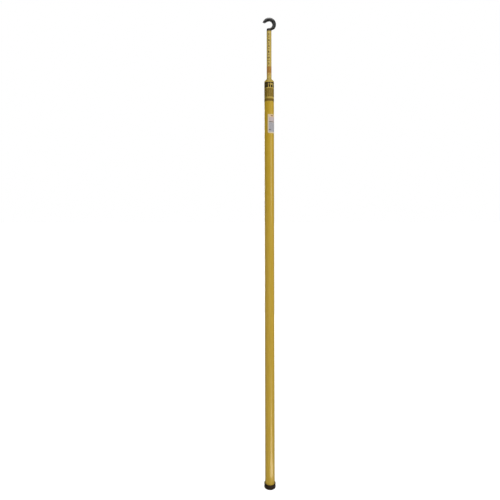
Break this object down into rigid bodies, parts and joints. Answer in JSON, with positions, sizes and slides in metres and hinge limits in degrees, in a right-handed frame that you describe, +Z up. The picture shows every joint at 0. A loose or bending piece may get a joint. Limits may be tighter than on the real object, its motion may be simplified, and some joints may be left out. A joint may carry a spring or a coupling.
{
  "type": "telescoping measuring stick",
  "caption": "Telescoping insulated measuring stick: nested round fibreglass tubes with sprung lock buttons, a black hook at the tip and a rubber foot.",
  "frame": {"origin": "centre of the foot cap's flat underside, on the axis of the tubes", "axes": "+Z up the stick to the hook, the hook opens towards -X, the lock buttons face +Y, and the front is -Y"},
  "size_m": [0.0463, 0.0394, 1.6196],
  "materials": {
    "tube_fibreglass": "pultruded glass fibre and resin, pigmented yellow, satin gloss",
    "plug_nylon": "turned natural nylon",
    "button_brass": "turned brass, smooth",
    "spring_steel": "drawn stainless steel wire",
    "hook_nylon": "moulded black glass-filled nylon, satin",
    "foot_rubber": "moulded black rubber, matt",
    "core_foam": "closed-cell urethane foam"
  },
  "bodies": {
    "base": {"foot_cap": "foot_rubber", "base_plug": "plug_nylon", "base_tube": "tube_fibreglass"},
    "slide_1": {"slide_tube_1": "tube_fibreglass", "end_plug_1": "plug_nylon", "button_spring_1": "spring_steel"},
    "slide_2": {"slide_tube_2": "tube_fibreglass", "end_plug_2": "plug_nylon", "button_spring_2": "spring_steel"},
    "slide_3": {"slide_tube_3": "tube_fibreglass", "end_plug_3": "plug_nylon", "button_spring_3": "spring_steel"},
    "slide_4": {"slide_tube_4": "tube_fibreglass", "end_plug_4": "plug_nylon", "button_spring_4": "spring_steel"},
    "slide_5": {"slide_tube_5": "tube_fibreglass", "end_plug_5": "plug_nylon", "button_spring_5": "spring_steel"},
    "slide_6": {"slide_tube_6": "tube_fibreglass", "end_plug_6": "plug_nylon", "button_spring_6": "spring_steel"},
    "tip": {"tip_tube": "tube_fibreglass", "end_plug_7": "plug_nylon", "button_spring_7": "spring_steel", "hook": "hook_nylon", "hook_pin": "spring_steel", "tip_core": "core_foam"},
    "button_1": {"lock_button_1": "button_brass"},
    "button_2": {"lock_button_2": "button_brass"},
    "button_3": {"lock_button_3": "button_brass"},
    "button_4": {"lock_button_4": "button_brass"},
    "button_5": {"lock_button_5": "button_brass"},
    "button_6": {"lock_button_6": "button_brass"},
    "button_7": {"lock_button_7": "button_brass"}
  },
  "joints": [
    {"name": "draw_1", "type": "slide", "parent": "base", "child": "slide_1", "axis": [0, 0, 1], "range_m": [0, 1.3239]},
    {"name": "draw_2", "type": "slide", "parent": "slide_1", "child": "slide_2", "axis": [0, 0, 1], "range_m": [0, 1.3099]},
    {"name": "draw_3", "type": "slide", "parent": "slide_2", "child": "slide_3", "axis": [0, 0, 1], "range_m": [0, 1.2959]},
    {"name": "draw_4", "type": "slide", "parent": "slide_3", "child": "slide_4", "axis": [0, 0, 1], "range_m": [0, 1.2819]},
    {"name": "draw_5", "type": "slide", "parent": "slide_4", "child": "slide_5", "axis": [0, 0, 1], "range_m": [0, 1.2679]},
    {"name": "draw_6", "type": "slide", "parent": "slide_5", "child": "slide_6", "axis": [0, 0, 1], "range_m": [0, 1.2539]},
    {"name": "draw_tip", "type": "slide", "parent": "slide_6", "child": "tip", "axis": [0, 0, 1], "range_m": [0, 1.2399]},
    {"name": "press_1", "type": "slide", "parent": "slide_1", "child": "button_1", "axis": [0, 1, 0], "range_m": [-0.0012, 0], "stiffness_N_per_m": 400, "springref_m": 0.004, "deforming": ["button_spring_1"]},
    {"name": "press_2", "type": "slide", "parent": "slide_2", "child": "button_2", "axis": [0, 1, 0], "range_m": [-0.0012, 0], "stiffness_N_per_m": 400, "springref_m": 0.004, "deforming": ["button_spring_2"]},
    {"name": "press_3", "type": "slide", "parent": "slide_3", "child": "button_3", "axis": [0, 1, 0], "range_m": [-0.0012, 0], "stiffness_N_per_m": 400, "springref_m": 0.004, "deforming": ["button_spring_3"]},
    {"name": "press_4", "type": "slide", "parent": "slide_4", "child": "button_4", "axis": [0, 1, 0], "range_m": [-0.0012, 0], "stiffness_N_per_m": 400, "springref_m": 0.004, "deforming": ["button_spring_4"]},
    {"name": "press_5", "type": "slide", "parent": "slide_5", "child": "button_5", "axis": [0, 1, 0], "range_m": [-0.0012, 0], "stiffness_N_per_m": 400, "springref_m": 0.004, "deforming": ["button_spring_5"]},
    {"name": "press_6", "type": "slide", "parent": "slide_6", "child": "button_6", "axis": [0, 1, 0], "range_m": [-0.0012, 0], "stiffness_N_per_m": 400, "springref_m": 0.004, "deforming": ["button_spring_6"]},
    {"name": "press_tip", "type": "slide", "parent": "tip", "child": "button_7", "axis": [0, 1, 0], "range_m": [-0.0012, 0], "stiffness_N_per_m": 400, "springref_m": 0.004, "deforming": ["button_spring_7"]}
  ]
}
